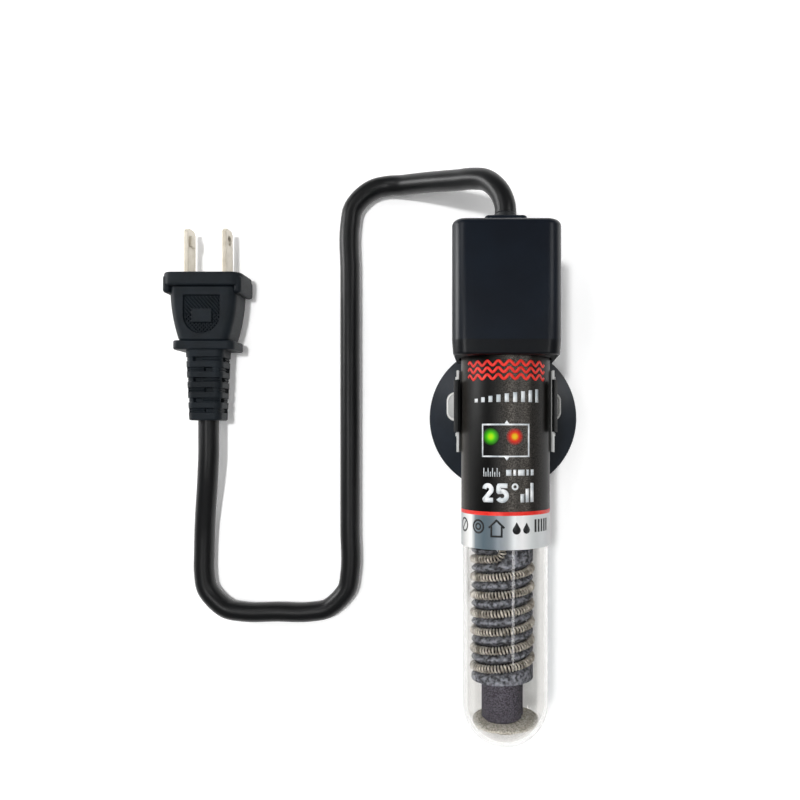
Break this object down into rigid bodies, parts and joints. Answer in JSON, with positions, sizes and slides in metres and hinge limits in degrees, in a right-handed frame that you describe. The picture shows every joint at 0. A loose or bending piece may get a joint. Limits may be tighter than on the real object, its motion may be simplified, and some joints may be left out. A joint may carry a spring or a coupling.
{
  "type": "submersible aquarium heater",
  "caption": "Glass-tube aquarium heater with a wound ceramic element, indicator lamps, a suction-cup holder that slides and turns, and a two-blade plug on a short lead.",
  "frame": {"origin": "middle of the suction cup on the plane that it grips", "axes": "+Y along the glass tube towards the head and cord boss, +Z away from the suction plane through the tube's printed front, +X to the right of the front"},
  "size_m": [0.138, 0.1828, 0.0453],
  "materials": {
    "glass": "clear drawn glass",
    "sleeve_print": "printed shrink sleeve, black with a silver band",
    "head_plastic": "fine moulded blue-black",
    "seal_rubber": "smooth moulded",
    "cord_rubber": "satin extruded sheath",
    "lead_insulation": "smooth insulation",
    "lead_sleeving": "woven glass sleeving",
    "board": "green glass-epoxy board",
    "lamp_green_lens": "clear tinted resin",
    "lamp_red_lens": "clear tinted resin",
    "component_black": "moulded epoxy",
    "component_amber": "dipped epoxy",
    "component_blue": "shrink-wrapped can",
    "component_tan": "lacquered",
    "bead_brown": "dipped epoxy bead",
    "fuse_case": "tinned can",
    "shield_ceramic": "pressed fibre board",
    "terminal_brass": "plain",
    "element_ceramic": "rough dark fired ceramic",
    "resistance_wire": "close spiral of dull wire",
    "pad_fibre": "pressed ceramic fibre",
    "liner_plastic": "soft light grey moulding",
    "clip_plastic": "black moulding",
    "ear_plastic": "light grey moulding",
    "cup_rubber": "soft dark slate rubber",
    "plug_plastic": "moulded vinyl",
    "insert_plastic": "plain moulding",
    "blade_nickel": "nickel plated",
    "crimp_copper": "plain copper alloy"
  },
  "bodies": {
    "heater": {"glass_tube": "glass", "label_sleeve": "sleeve_print", "head_shell": "head_plastic", "seal_rings": "seal_rubber", "tube_stopper": "seal_rubber", "cord_gland": "cord_rubber", "supply_leads": "lead_insulation", "circuit_board": "board", "lamp_green": "lamp_green_lens", "lamp_red": "lamp_red_lens", "control_chip": "component_black", "dropper_capacitor": "component_amber", "smoothing_capacitor": "component_blue", "switching_triac": "component_black", "board_resistors": "component_tan", "thermistor": "bead_brown", "thermal_fuse": "fuse_case", "heat_shield": "shield_ceramic", "heater_leads": "lead_sleeving", "coil_terminals": "terminal_brass", "element_core": "element_ceramic", "element_former": "element_ceramic", "heating_coil": "resistance_wire", "end_pad": "pad_fibre", "cord": "cord_rubber", "plug_body": "plug_plastic", "plug_insert": "insert_plastic", "blade_left": "blade_nickel", "blade_right": "blade_nickel", "plug_crimps": "crimp_copper"},
    "grip": {"grip_liner": "liner_plastic"},
    "clip": {"clip_body": "clip_plastic", "ear_plate": "ear_plastic"},
    "cup": {"suction_cup": "cup_rubber"}
  },
  "joints": [
    {"name": "holder_slide", "type": "slide", "parent": "heater", "child": "grip", "axis": [0, 1, 0], "range_m": [-0.072, 0.003]},
    {"name": "holder_turn", "type": "hinge", "parent": "grip", "child": "clip", "pos_m": [0, 0.00275, 0.03], "axis": [0, 1, 0], "continuous": true},
    {"name": "cup_swivel", "type": "hinge", "parent": "clip", "child": "cup", "pos_m": [0, 0, 0.0099], "axis": [0, 0, 1], "continuous": true}
  ]
}
